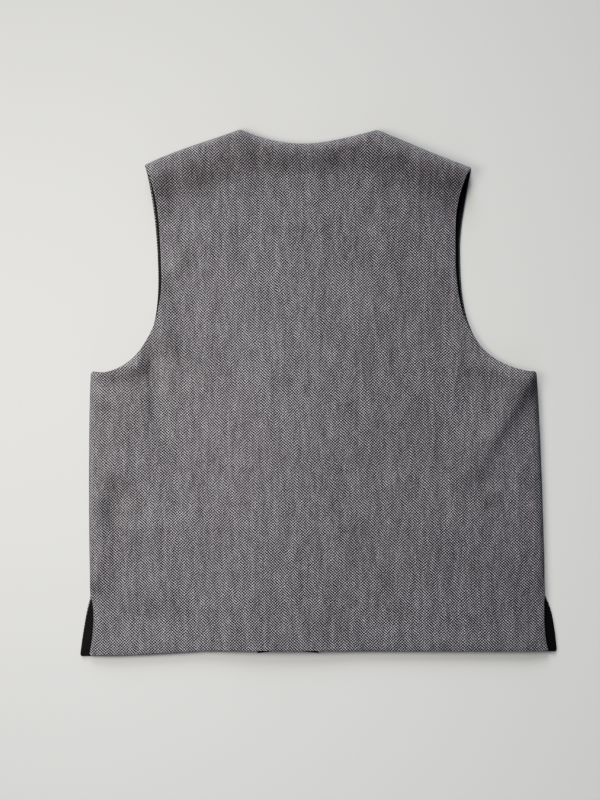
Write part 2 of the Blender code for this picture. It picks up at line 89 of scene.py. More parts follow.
BACK_ROWS = [
    Row("hem", -258.5, -295.4, 258, 26, 0, 40, 2, 0, 0),
    Row("hem", -130.0, -289.8, 4, 40, 0, 60, 0, 0, 0),
    Row("vent", 259.6, -290.4, 0, 60, 106, 20, 2, 0, 0),
    Row("side_right", 254.9, VENT_TOP, 90, 22, 90, 60, 0, 0, 0),
    Row("armhole", 246.0, 24.5, 94, 60, 174.6, 73, 4, 0, 0),
    Row("armhole", 154.7, 156.5, 90.5, 69, 90.5, 35, 0, 0, 0),
    Row("shoulder", 171.3, 254.3, 61, 37, 159.3, 20, 1.5, 0, 0),
    Row("neck", 67.0, 297.3, 156.6, 31, 193, 54, 5, 0, 0),
    Row("shoulder", -88.5, 297.9, 156, 70, 200.5, 39, 4, 0, 0),
    Row("armhole", -195.4, 258.0, 206, 40, 295, 42, 1.5, 0, 0),
    Row("armhole", -176.6, 133.4, 274, 40, 274, 38, 0, 0, 0),
    Row("side_left", -257.0, 23.0, 176, 62, 266, 40, 3, 0, 0),
    Row("vent", -257.0, VENT_TOP, 274, 40, 292, 13, 0, 0, 0),
]
FRONT_LEFT_ROWS = [
    Row("hem", -269.8, -297.0, 263, 20, 3, 40, 4, 0.6, 0.6),
    Row("hem", -60.0, -289.2, 0, 60, 0, 20, 0, 0.6, 0.6),
    Row("front", 0.0, -292.6, 354, 20, 85, 60, 1.5, 1.2, 1.2),
    Row("neck", 50.0, 110.0, 82, 60, 135, 40, 8, 1.2, 1.2),
    Row("shoulder", -88.5, 297.9, 118, 40, 200.5, 39, 3, 5.0, 5.0),
    Row("armhole", -196.2, 258.4, 206, 40, 284, 42, 1.5, 2.4, 0.9),
    Row("armhole", -181.3, 133.4, 271, 42, 271, 64, 0, 0.9, 0.7),
    Row("side_left", -256.6, 25.4, 171, 60, 266, 40, 3, 5.0, 5.0),
    Row("vent", -257.0, VENT_TOP, 274, 40, 246, 13, 0, 1.6, 0.9),
]
FRONT_RIGHT_ROWS = [
    Row("hem", -69.5, -293.4, 265, 60, 6, 20, 1.5, 0.6, 0.6),
    Row("hem", -20.0, -289.2, 0, 15, 0, 60, 0, 0.6, 0.6),
    Row("vent", 269.6, -291.4, 358, 60, 95, 26, 4, 0.6, 1.4),
    Row("side_right", 255.4, VENT_TOP, 128, 14, 90, 60, 0, 5.0, 5.0),
    Row("armhole", 246.0, 24.5, 94, 60, 174.6, 73, 4, 2.2, 2.0),
    Row("armhole", 160.0, 156.5, 90.5, 74, 91.5, 32, 0, 2.0, 0.7),
    Row("shoulder", 172.6, 255.0, 80, 39, 159.3, 20, 1.5, 5.0, 5.0),
    Row("neck", 67.0, 297.3, 156.6, 31, 240, 40, 3, 1.2, 1.2),
    Row("front", -30.0, 110.0, 232, 40, 266, 60, 8, 1.2, 1.2),
]
print("corners and turns:", len(BACK_ROWS), len(FRONT_LEFT_ROWS), len(FRONT_RIGHT_ROWS))

# %% [markdown]
# ## From rows to an outline
#
# Each edge is a cubic curve between two rows. Corners are cut back and bent round, since turned and
# pressed cloth never has a sharp corner. A loop can also be set in, by a different distance along each
# edge.

# %% Curves and outlines
EDGE_STEP = 2.5
CORNER_SHARES = (0.0, 0.2, 0.4, 0.6, 0.8, 1.0)
CORNER_CLEAR = 1.02
INSET_KEPT = 0.97
HAIR = 0.001


def curve(start, leave, reach, end, arrive, pull, step):
    """Points of a smooth edge from start up to, and not with, its end."""
    start = np.array(start)
    end = np.array(end)
    first = start + reach * np.array([math.cos(math.radians(leave)), math.sin(math.radians(leave))])
    second = end - pull * np.array([math.cos(math.radians(arrive)), math.sin(math.radians(arrive))])
    count = max(2, round(np.linalg.norm(end - start) / step))
    t = np.linspace(0, 1, count, endpoint=False)[:, None]
    return (1 - t) ** 3 * start + 3 * (1 - t) ** 2 * t * first + 3 * (1 - t) * t * t * second + t**3 * end


def edges_of(rows, step):
    """The outline's edges in order, each with its row and its points."""
    edges = []
    for row, after in zip(rows, rows[1:] + rows[:1]):
        start, end = (row.x, row.y), (after.x, after.y)
        points = curve(start, row.leave, row.reach, end, after.arrive, after.pull, step)
        edges.append((row, points))
    return edges


def inward_normals(points):
    """Unit normals of each side of a closed anticlockwise loop, to its inside."""
    along = np.roll(points, -1, axis=0) - points
    along /= np.linalg.norm(along, axis=1)[:, None]
    return np.column_stack([-along[:, 1], along[:, 0]])


def distance(lines, points):
    """Distance of each point to the nearest of some open lines."""
    nearest = np.full(len(points), np.inf)
    for line in lines:
        for start, end in zip(line[:-1], line[1:]):
            along = end - start
            share = np.clip((points - start) @ along / (along @ along), 0, 1)
            gap = np.linalg.norm(points - start - share[:, None] * along, axis=1)
            nearest = np.minimum(nearest, gap)
    return nearest


def rounded(points, insets, cuts):
    """Cuts each corner of a loop back by its own distance and bends the edge round there."""
    kept, distances = [], []
    corners = {index: points[index] for index in cuts}
    for index, point in enumerate(points):
        if index in corners:
            back = points[index - math.ceil(cuts[index] / EDGE_STEP)] - point
            on = points[(index + math.ceil(cuts[index] / EDGE_STEP)) % len(points)] - point
            start = point + back / np.linalg.norm(back) * cuts[index]
            end = point + on / np.linalg.norm(on) * cuts[index]
            for t in CORNER_SHARES:
                kept.append((1 - t) ** 2 * start + 2 * t * (1 - t) * point + t * t * end)
                distances.append((1 - t) * insets[index - 1] + t * insets[index])
        elif all(np.linalg.norm(point - corners[c]) > CORNER_CLEAR * cuts[c] for c in corners):
            kept.append(point)
            distances.append(insets[index])
    return np.array(kept), np.array(distances)


def inset_loop(points, insets):
    """Moves each point of a loop in by its own distance, and drops those too near another side."""
    normals = inward_normals(points)
    inward = normals + np.roll(normals, 1, axis=0)
    moved = points + inward / np.linalg.norm(inward, axis=1)[:, None] * insets[:, None]
    fits = np.ones(len(points), dtype=bool)
    smaller = np.minimum(insets, np.roll(insets, -1))
    for start, end, inset in zip(points, np.roll(points, -1, axis=0), smaller):
        fits &= distance([np.array([start, end])], moved) > INSET_KEPT * inset - HAIR
    return moved[fits]


def outline(rows, inset=None):
    """The closed outline of a panel, its corners rounded, set in by inset(row, points) mm."""
    points = []
    insets = []
    cuts = {}
    for row, edge in edges_of(rows, EDGE_STEP):
        if row.round:
            cuts[len(points)] = row.round
        points.extend(edge)
        insets.extend(inset(row, edge) if inset else np.zeros(len(edge)))
    loop, insets = rounded(np.array(points), insets, cuts)
    return inset_loop(loop, insets) if inset else loop


def line_of(rows, name):
    """The named edges of an outline, each as an open line with both its ends."""
    lines = []
    edges = edges_of(rows, EDGE_STEP)
    for index, (row, points) in enumerate(edges):
        if row.edge == name:
            following = edges[(index + 1) % len(edges)][1][0]
            lines.append(np.vstack([points, following]))
    return lines


for title, rows in (("back", BACK_ROWS), ("left", FRONT_LEFT_ROWS), ("right", FRONT_RIGHT_ROWS)):
    loop = outline(rows)
    print(title, "outline:", len(loop), "points,", np.ptp(loop, axis=0).round(1), "mm")

# %% [markdown]
# ## Distances
#
# Almost everything about laid cloth depends on how far a point lies from some edge: rolls at the seams,
# bands where layers pile up, the step beside a lap. So the helpers here measure distance to open lines,
# test for inside, and ease smoothly from one value to another.

# %% Distance helpers
def inside(loop, points):
    """Whether each point lies within a closed loop."""
    result = np.zeros(len(points), dtype=bool)
    x, y = points[:, 0], points[:, 1]
    for start, end in zip(loop, np.roll(loop, -1, axis=0)):
        crosses = (start[1] > y) != (end[1] > y)
        slope = (end[0] - start[0]) / (end[1] - start[1]) if end[1] != start[1] else 0.0
        result ^= crosses & (x < start[0] + (y - start[1]) * slope)
    return result


def closed(loop):
    """A loop as an open line that ends where it starts."""
    return np.vstack([loop, loop[:1]])


def ease(low, high, value):
    """Rises smoothly from 0 at low to 1 at high."""
    share = np.clip((value - low) / (high - low), 0, 1)
    return share * share * (3 - 2 * share)


def highest(one, other, softness):
    """The higher of two heights, with the corner between them filled in softly."""
    return 0.5 * (one + other + np.sqrt((one - other) ** 2 + softness**2))


def depth_outside(loop, points):
    """How far outside a panel each point lies, 0 within it."""
    return np.where(inside(loop, points), 0.0, distance([closed(loop)], points))


def quarter_round(depth, width):
    """A roll of the cloth: 0 at the seam and 1 from width inwards, upright at the seam."""
    return np.sqrt(1 - np.clip(1 - depth / width, 0, 1) ** 2)


# %% [markdown]
# ## Buttons and what lies on them
#
# The buttons sit under the lap of the fronts, so nobody sees them, but they hold the cloth up: each front
# is lifted over every button, and the back, which spans from one to the next, has one long low ridge.

# %% Places of the buttons
BUTTON_WIDTH = 15.0
BUTTON_THICK = 2.6
BUTTON_COUNT = 4
BUTTON_SPACING = 88.0
BUTTON_LAST = -235.0
BUTTON_INSET = 18.0
BUTTON_LIFT = BUTTON_THICK + SEAM_GAP
BUTTON_FLAT = BUTTON_WIDTH / 2 + 1
FRONT_DIMPLE = 25.0
BACK_RIDGE = 115.0


def button_places():
    """Middles of the buttons, in a row beside the edge of the right front."""
    edge = line_of(FRONT_RIGHT_ROWS, "front")[0]
    places = []
    for number in range(BUTTON_COUNT):
        y = BUTTON_LAST + number * BUTTON_SPACING
        x = np.interp(y, edge[::-1, 1], edge[::-1, 0]) + BUTTON_INSET
        places.append((float(x), y))
    return places


def button_lift(points):
    """How far the buttons under the fronts hold them up."""
    lift = np.zeros(len(points))
    for place in button_places():
        away = np.linalg.norm(points - np.array(place), axis=1)
        lift = np.maximum(lift, BUTTON_LIFT * (1 - ease(BUTTON_FLAT, FRONT_DIMPLE, away)))
    return lift


def row_lift(points):
    """How far the row of buttons holds the back up."""
    return BUTTON_LIFT * (1 - ease(BUTTON_FLAT, BACK_RIDGE, distance([np.array(button_places())], points)))


print("buttons at", [(round(x), round(y)) for x, y in button_places()])

# %% [markdown]
# ## Folds
#
# Cloth that has been worn and laid down by hand keeps soft ridges and troughs: long ones slanting down
# from the armholes, short ones where the side seams pull. Each is one row: its two ends, how far its
# middle bows out to the left, its half widths on the left and on the right, and its rise at both ends,
# below zero for a trough. Left and right are as one goes from the first end to the second. No two are
# alike in length, depth or spacing.

# %% The back's folds
Fold = namedtuple("Fold", "x0 y0 x1 y1 bow left right rise rise_end")

BACK_FOLDS = [
    Fold(-192, 44, -152, -135, -3, 12, 9, -3.4, -3.0),
    Fold(-222, 52, -196, -60, 0, 22, 30, 4.6, 2.0),
    Fold(-249, 20, -248, -118, 0, 44, 12, 9.5, 7.5),
    Fold(-247, -110, -247, -266, 0, 12, 12, 6.0, 3.6),
    Fold(-194, 34, -252, 23, 0, 12, 9, 6.5, 5.5),
    Fold(-190, 74, -204, 32, 0, 12, 9, 5.0, 3.0),
    Fold(245, 26, 171, -100, -3, 10, 26, 6.5, 2.2),
    Fold(-137, 182, -171, 126, 2, 9, 9, 2.0, 2.0),
    Fold(-180, 142, -174, 50, -2, 17, 8, 4.6, 8.0),
    Fold(-184, 252, -178, 196, 0, 11, 8, 4.4, 4.4),
    Fold(-190, 183, -21, 189, 2, 12, 9, 1.6, 0.8),
    Fold(-252, -4, -226, -10, 0, 14, 12, 3.0, 1.8),
    Fold(-248, -88, -210, -94, 0, 20, 18, 4.6, 3.6),
    Fold(-226, -154, -142, -145, 0, 12, 18, 2.6, 1.2),
    Fold(53, -112, 96, -91, -2, 7, 9, 2.0, 1.4),
    Fold(56, -43, 32, -86, 3, 7, 9, 2.0, 1.6),
    Fold(69, 279, 164, 247, 0, 14, 12, 1.5, 3.0),
    Fold(180, -120, 208, -105, 0, 10, 9, 1.8, 1.6),
    Fold(155, 65, 166, 30, 0, 14, 14, 3.0, 2.0),
    Fold(166, 38, 238, 14, 0, 9, 14, 4.4, 4.4),
    Fold(-31, 207, -26, -187, 2, 5, 10, 0.9, 0.9),
    Fold(52, 105, 56, -41, 1, 5, 10, 1.2, 0.8),
    Fold(26, 173, 13, 72, 3, 9, 18, 1.3, 1.5),
    Fold(-210, -253, -138, -257, 0, 16, 8, -1.6, -1.2),
    Fold(126, -142, 227, -187, 6, 18, 30, 1.4, 2.4),
]


def fold_rise(folds, points):
    """The sum of the folds' heights at each point."""
    rise = np.zeros(len(points))
    for fold in folds:
        start = np.array([fold.x0, fold.y0], dtype=float)
        along = np.array([fold.x1, fold.y1]) - start
        length = np.linalg.norm(along)
        run = (points - start) @ along / length
        share = np.clip(run / length, 0, 1)
        across = (points - start) @ np.array([-along[1], along[0]]) / length
        aside = across - fold.bow * 4 * share * (1 - share)
        width = np.where(aside > 0, fold.left, fold.right)
        soft = max(fold.left, fold.right)
        ends = ease(-soft, soft, run) * ease(-soft, soft, length - run)
        crest = fold.rise + (fold.rise_end - fold.rise) * share
        rise += crest * ends * np.exp(-((aside / width) ** 2))
    return rise


def unevenness(points, grain, height):
    """Low hollows and rises all over, about as wide as grain, as cloth has that was smoothed by hand."""
    return np.array([noise.noise(Vector((x / grain, y / grain, grain))) for x, y in points]) * height


print("folds:", len(BACK_FOLDS))

# %% [markdown]
# ## Heights
#
# A front's height is that of its face, which is the lower side as it lies: on the floor, and rolled up to
# meet the back at the side and shoulder seams. The back's is that of its upper face. It stands higher
# along the sides, shoulders and neck, where seams and facings pile up under it, and it never comes lower
# than the lapped fronts below.

# %% Heights of the fronts
RIM_REACH = 0.5
RIM = WOOL / 2 * RIM_REACH
SEAM_END = 8.0
SEAM_END_DROP = 1.1
SEAM_END_RISE = 0.9
LAP_START = 3.0
LAP_END = 17.0


def seam_share(points):
    """1 along a closed side seam, falling to 0 where the vent opens."""
    return ease(VENT_TOP, VENT_TOP + VENT_EASE, points[:, 1])


def seam_end_share(rows, points):
    """1 at each end of the shoulder and side seams, where they part a little, falling to 0 along them."""
    seams = line_of(rows, "shoulder") + line_of(rows, "side_left") + line_of(rows, "side_right")
    ends = [line[end] for line in seams for end in (0, -1)]
    to_end = np.min([np.linalg.norm(points - end, axis=1) for end in ends], axis=0)
    return 1 - ease(0, SEAM_END, to_end)


def front_height(rows, points):
    """Height of a front's lower face: flat on the floor, rolled up to the side and shoulder seams."""
    side = distance(line_of(rows, "side_left") + line_of(rows, "side_right"), points)
    shoulder = distance(line_of(rows, "shoulder"), points)
    side_share = (1 - quarter_round(side, FRONT_ROLL)) * seam_share(points)
    shoulder_share = 1 - quarter_round(shoulder, FRONT_ROLL)
    rise = FRONT_ROLL - RIM - (SEAM_END_DROP - RIM) * seam_end_share(rows, points)
    return np.maximum(side_share, shoulder_share) * rise


def right_front_height(points):
    """The right front lies on the floor and on the buttons."""
    return front_height(FRONT_RIGHT_ROWS, points) + button_lift(points)


def left_front_height(points):
    """The left front lies on the right one where they lap, and on the floor beside it."""
    away = depth_outside(outline(FRONT_RIGHT_ROWS), points)
    lapped = STACK * (1 - ease(LAP_START, LAP_END, away))
    return front_height(FRONT_LEFT_ROWS, points) + button_lift(points) + lapped


# %% Height of the back
Band = namedtuple("Band", "near far rise")

BACK_BANDS = {
    "side_left": Band(8, 34, 2.4),
    "side_right": Band(12, 60, 2.6),
    "shoulder": Band(14, 55, 11.5),
    "neck": Band(8, 40, 9.0),
}
HEM_BAND = Band(7, 30, 1.1)
HEM_EDGE = Band(0, 5, 0.3)
VENT_SHARE = 0.35
VENT_BAND = 26.0
VENT_EDGE = STACK + WOOL + SEAM_GAP
SOFTNESS = 1.2
BAND_SOFTNESS = 0.5
BACK_ROLL = {"side_left": 6.5, "side_right": 9.0, "shoulder": 8.0}
NECK_ROLL = 10.0
NECK_EDGE = 7.0
BACK_LAP_START = 2.0
BACK_LAP_END = 110.0
HOLLOW_WIDTH = 38.0
HOLLOW_DEPTH = 0.35


def band_rise(band, depth):
    """How much higher the back stands at some depth from one of its edges."""
    return band.rise * (1 - ease(band.near, band.far, depth))


def back_height(points):
    """Height of the back's upper face."""
    names = ("side_left", "side_right", "shoulder", "neck", "vent", "hem")
    depth = {name: distance(line_of(BACK_ROWS, name), points) for name in names}
    closed_seam = seam_share(points)

    # The surface as laid: raised along the sides, the shoulders and the neck, low at the open vents.
    sides = band_rise(BACK_BANDS["side_left"], depth["side_left"])
    sides += band_rise(BACK_BANDS["side_right"], depth["side_right"])
    sides *= VENT_SHARE + (1 - VENT_SHARE) * closed_seam
    shoulders = band_rise(BACK_BANDS["shoulder"], depth["shoulder"])
    tops = highest(shoulders, band_rise(BACK_BANDS["neck"], depth["neck"]), BAND_SOFTNESS)
    height = BODY + sides + tops + fold_rise(BACK_FOLDS, points)
    height += band_rise(HEM_BAND, depth["hem"]) - band_rise(HEM_EDGE, depth["hem"])
    height += unevenness(points, HOLLOW_WIDTH, HOLLOW_DEPTH)
    height -= (height - VENT_EDGE) * (1 - ease(0, VENT_BAND, depth["vent"])) * (1 - closed_seam)

    # It never lies lower than what is under it.
    off_right = depth_outside(outline(FRONT_RIGHT_ROWS), points)
    off_left = depth_outside(outline(FRONT_LEFT_ROWS), points)
    lapped = 1 - ease(BACK_LAP_START, BACK_LAP_END, np.maximum(off_right, off_left))
    floor = STACK + WOOL + STACK * lapped + row_lift(points)
    height = highest(height, floor, SOFTNESS)

    # It rolls down to the seams.
    seam_line = SEAM_HEIGHT + RIM + (SEAM_END_RISE - RIM) * seam_end_share(BACK_ROWS, points)
    for name in ("side_left", "side_right"):
        seam = height + (seam_line - height) * closed_seam
        height = seam + (height - seam) * quarter_round(depth[name], BACK_ROLL[name])
    height = seam_line + (height - seam_line) * quarter_round(depth["shoulder"], BACK_ROLL["shoulder"])
    neck_line = np.minimum(height, NECK_EDGE)
    return neck_line + (height - neck_line) * quarter_round(depth["neck"], NECK_ROLL)


# %% [markdown]
# ## A sheet of cloth
#
# The outline is filled with a triangular grid, with rows of points close to the edge where the cloth
# bends most. Solidify could give the wall, but its rim is square, and a turned and pressed edge of wool
# is a flat oval. So the two faces are made here from the normals, and joined by such a rim. The UV map
# "cut" holds each point's place on the flat cloth, in metres, so that the weave follows the cloth round
# its edges.

# %% Filling an outline
RING_DEPTHS = (0.35, 1.1, 2.3, 4.0, 6.2, 8.8, 11.4)
RIM_TURNS = (30, 60, 90, 120, 150)
RING_KEPT = 0.96
FILL_INSIDE = 1
MERGE = 1e-4
LEAST_RUN = 0.2


def lattice(loop, step, clear):
    """Points of a triangular grid inside a loop, clear of its edge."""
    low, high = loop.min(axis=0), loop.max(axis=0)
    rise = step * math.sqrt(3) / 2
    row_count = math.ceil((high[1] - low[1]) / rise)
    column_count = math.ceil((high[0] - low[0]) / step) + 1
    rows, columns = np.mgrid[0:row_count, 0:column_count]
    found = np.column_stack([
        low[0] + (columns.ravel() + 0.5 * (rows.ravel() % 2)) * step,
        low[1] + (rows.ravel() + 0.5) * rise,
    ])
    found = found[inside(loop, found)]
    return found[distance([closed(loop)], found) > clear]


def rings(loop, depths):
    """Rows of points that run along inside a loop at some depths."""
    normals = inward_normals(loop)
    inward = normals + np.roll(normals, 1, axis=0)
    inward /= np.linalg.norm(inward, axis=1)[:, None]
    found = []
    for depth in depths:
        points = loop + inward * depth
        points = points[inside(loop, points)]
        found.append(points[distance([closed(loop)], points) > RING_KEPT * depth])
    return np.vstack(found)


def filled(loop, step):
    """The points and triangles that fill a loop."""
    inner = np.vstack([rings(loop, RING_DEPTHS), lattice(loop, step, RING_DEPTHS[-1] + step / 2)])
    places = [Vector(point) for point in np.vstack([loop, inner])]
    made = geometry.delaunay_2d_cdt(places, [], [list(range(len(loop)))], FILL_INSIDE, MERGE)
    flat, faces = np.array([tuple(point) for point in made[0]]), np.array(made[2])
    first, second = flat[faces[:, 1]] - flat[faces[:, 0]], flat[faces[:, 2]] - flat[faces[:, 0]]
    clockwise = first[:, 0] * second[:, 1] < first[:, 1] * second[:, 0]
    faces[clockwise] = faces[clockwise, ::-1]
    used, faces = np.unique(faces, return_inverse=True)
    return flat[used], faces.reshape(-1, 3)


def edge_walk(faces):
    """The points round the edge of some anticlockwise triangles, in order."""
    sides = np.vstack([faces[:, [0, 1]], faces[:, [1, 2]], faces[:, [2, 0]]])
    known = {tuple(side) for side in sides.tolist()}
    after = {start: end for start, end in known if (end, start) not in known}
    walk = [min(after)]
    while after[walk[-1]] != walk[0]:
        walk.append(after[walk[-1]])
    return np.array(walk)


# %% Making a sheet
def normals_of(points, faces):
    """Unit normals at the points of an open surface."""
    corners = points[faces]
    across = np.cross(corners[:, 1] - corners[:, 0], corners[:, 2] - corners[:, 0])
    normals = np.zeros_like(points)
    for corner in range(3):
        np.add.at(normals, faces[:, corner], across)
    return normals / np.linalg.norm(normals, axis=1)[:, None]


def sheet(name, loop, step, height, low, high, unrolled=None):
    """A closed sheet whose two faces lie low and high mm from the surface that height gives."""
    flat, faces = filled(loop, step)
    middle = np.column_stack([flat, height(flat)])
    normals = normals_of(middle, faces)
    top, bottom = middle + normals * high, middle + normals * low
    cut = flat + (unrolled(flat) if unrolled else 0)

    # The rim: half ovals from the top edge round to the bottom one.
    walk = edge_walk(faces)
    along = np.roll(middle[walk], -1, axis=0) - np.roll(middle[walk], 1, axis=0)
    outward = np.cross(along, normals[walk])
    outward /= np.linalg.norm(outward, axis=1)[:, None]
    half = (top[walk] - bottom[walk]) / 2
    centre = (top[walk] + bottom[walk]) / 2
    flat_out = outward[:, :2] / np.maximum(np.linalg.norm(outward[:, :2], axis=1), LEAST_RUN)[:, None]
    size = len(flat)
    points, places = [top, bottom], [cut, cut]
    bands = [walk]
    for turn in RIM_TURNS:
        angle = math.radians(turn)
        reach = outward * np.linalg.norm(half, axis=1)[:, None] * RIM_REACH
        points.append(centre + half * math.cos(angle) + reach * math.sin(angle))
        places.append(cut[walk] + flat_out * (high - low) / 2 * angle)
        bands.append(2 * size + (len(bands) - 1) * len(walk) + np.arange(len(walk)))
    bands.append(walk + size)
    polygons = [faces, faces[:, ::-1] + size]
    for upper, under in zip(bands[:-1], bands[1:]):
        nexts = np.roll(upper, -1), np.roll(under, -1)
        polygons.append(np.column_stack([upper, under, nexts[1]]))
        polygons.append(np.column_stack([upper, nexts[1], nexts[0]]))
    return make_mesh(name, np.vstack(points) * MM, np.vstack(polygons), np.vstack(places) * MM)


def make_mesh(name, points, polygons, places):
    """A smooth mesh object with the UV map cut."""
    mesh = bpy.data.meshes.new(name)
    mesh.from_pydata(points.tolist(), [], polygons.tolist())
    layer = mesh.uv_layers.new(name="cut")
    order = np.zeros(len(mesh.loops), dtype=np.int32)
    mesh.loops.foreach_get("vertex_index", order)
    layer.data.foreach_set("uv", places[order].astype(np.float32).ravel())
    mesh.shade_smooth()
    made = bpy.data.objects.new(name, mesh)
    bpy.context.scene.collection.objects.link(made)
    print(name, "has", len(mesh.polygons), "triangles")
    return made


# %% [markdown]
# ## Colours and nodes
#
# Colours are written as sRGB hex codes, as a colour picker gives them, and turned to the linear values
# that a shader works with. One small function adds a node, sets it and links it. The few below it are the
# steps that every finish here is made of: a wave, a noise, two tones and a low relief.

# %% Material helpers
FINE_RELIEF = 0.0001


def linear(code):
    """The linear colour of an sRGB hex code, with alpha 1."""
    channels = [int(code[place : place + 2], 16) / 255 for place in (1, 3, 5)]
    return [c / 12.92 if c <= 0.04045 else ((c + 0.055) / 1.055) ** 2.4 for c in channels] + [1.0]


def new_material(name, finish):
    """A material whose Principled shader has a finish, with its tree and the shader."""
    material = bpy.data.materials.new(name)
    material.use_nodes = True
    shader = material.node_tree.nodes["Principled BSDF"]
    for socket, value in finish.items():
        shader.inputs[socket].default_value = value
    return material, material.node_tree, shader


def add(tree, kind, inputs=(), **settings):
    """Adds a node. A socket among the inputs is linked, anything else is set."""
    made = tree.nodes.new(kind)
    for name, value in settings.items():
        setattr(made, name, value)
    for name, value in dict(inputs).items():
        if isinstance(value, bpy.types.NodeSocket):
            tree.links.new(value, made.inputs[name])
        else:
            made.inputs[name].default_value = value
    return made


def stretched(tree, place, factors):
    """A place times a factor for each axis."""
    return add(tree, "ShaderNodeVectorMath", {0: place, 1: factors}, operation="MULTIPLY").outputs[0]


def scaled(tree, value, gain, offset):
    """A value times a gain, plus an offset."""
    return add(tree, "ShaderNodeMath", {0: value, 1: gain, 2: offset}, operation="MULTIPLY_ADD").outputs[0]


def slanted(tree, place, steps):
    """How far a place lies along a slanting direction, in radians of a wave."""
    return add(tree, "ShaderNodeVectorMath", {0: place, 1: steps}, operation="DOT_PRODUCT").outputs["Value"]


def wave(tree, phase):
    """A sine wave, from -1 to 1."""
    return add(tree, "ShaderNodeMath", {0: phase}, operation="SINE").outputs[0]


def flat_noise(tree, place, scale=1.0, detail=0.0):
    """Noise in the plane of the cloth."""
    inputs = {"Vector": place, "Scale": scale, "Detail": detail}
    return add(tree, "ShaderNodeTexNoise", inputs, noise_dimensions="2D")


def blend(tree, share, dark, pale):
    """The colour between two hex codes, at a share from 0 to 1."""
    inputs = {"Factor": share, 6: linear(dark), 7: linear(pale)}
    return add(tree, "ShaderNodeMix", inputs, data_type="RGBA").outputs[2]


def relief(tree, shader, height, strength, depth):
    """Low relief from a height, whose unit is some depth in metres."""
    bump = add(tree, "ShaderNodeBump", {"Height": height, "Strength": strength, "Distance": depth})
    tree.links.new(bump.outputs[0], shader.inputs["Normal"])


def fine_ribs(tree, shader, place, width, slant, tones, strength):
    """Fine ribs of two tones, some mm wide, on a place in metres."""
    turn = math.tau / (width * MM)
    rib = wave(tree, slanted(tree, place, (turn, slant * turn, 0)))
    tree.links.new(blend(tree, scaled(tree, rib, 0.5, 0.5), *tones), shader.inputs["Base Color"])
    relief(tree, shader, rib, strength, FINE_RELIEF)


print("mid grey:", [round(c, 3) for c in linear("#777777")])

# %% [markdown]
# ## The wool
#
# A heavy worsted woven from a pale and a charcoal yarn. Its floats cross in two slanting sets of ribs,
# which read as small checks, and here and there one set is the stronger, which gives the cloth its
# restless zigzag. The ribs repeat every 3.2 mm. Two sine waves at a slant give them, warped a little by
# noise because no yarn runs quite straight, and squashed by a tanh so that the yarns look solid. Streaks
# along the warp come from slubs in the yarn. Wool scatters light at its fuzzy surface, so it is rough and
# has some sheen. A picture of cloth would repeat and blur
# close up, so the weave is worked out here.

# %% Wool material
RIB_ACROSS = 3.27
RIB_UP = 3.18
RIB_FIRMNESS = 1.15
RIB_BALANCE = -0.52
YARN_PALE = "#a7a6ad"
YARN_DARK = "#201e20"
WEAVE_RELIEF = 0.00025
WOOL_FINISH = {"Roughness": 0.88, "Specular IOR Level": 0.12, "Sheen Weight": 0.06, "Sheen Roughness": 0.5}

# How the yarns wander: over what lengths across and along the warp, and how far, all in mm.
WANDERS = ((8, 34, 1.0), (3.4, 5.6, 0.9))

# Bands in which one set of ribs is the stronger: their width in mm, their direction, and how they drift, as
# the width of a drift in mm and its size in radians.
BAND_WIDTH = 18
BAND_ACROSS = 0.85
BAND_UP = -0.5
DRIFTS = ((50, 14.0), (13.5, 5.0))

# The two sets of ribs: which way each slants, how strong it is, and how much the bands change that.
RIB_SETS = ((1, 1.0, 0.22), (-1, 0.84, -0.22))

# Slubs and uneven dye of single yarns: width and length in mm, and how much they lighten or darken.
SLUBS = ((1.8, 10, 0.45), (4.5, 28, 0.38), (14, 68, 0.25), (1.1, 1.1, 0.9))


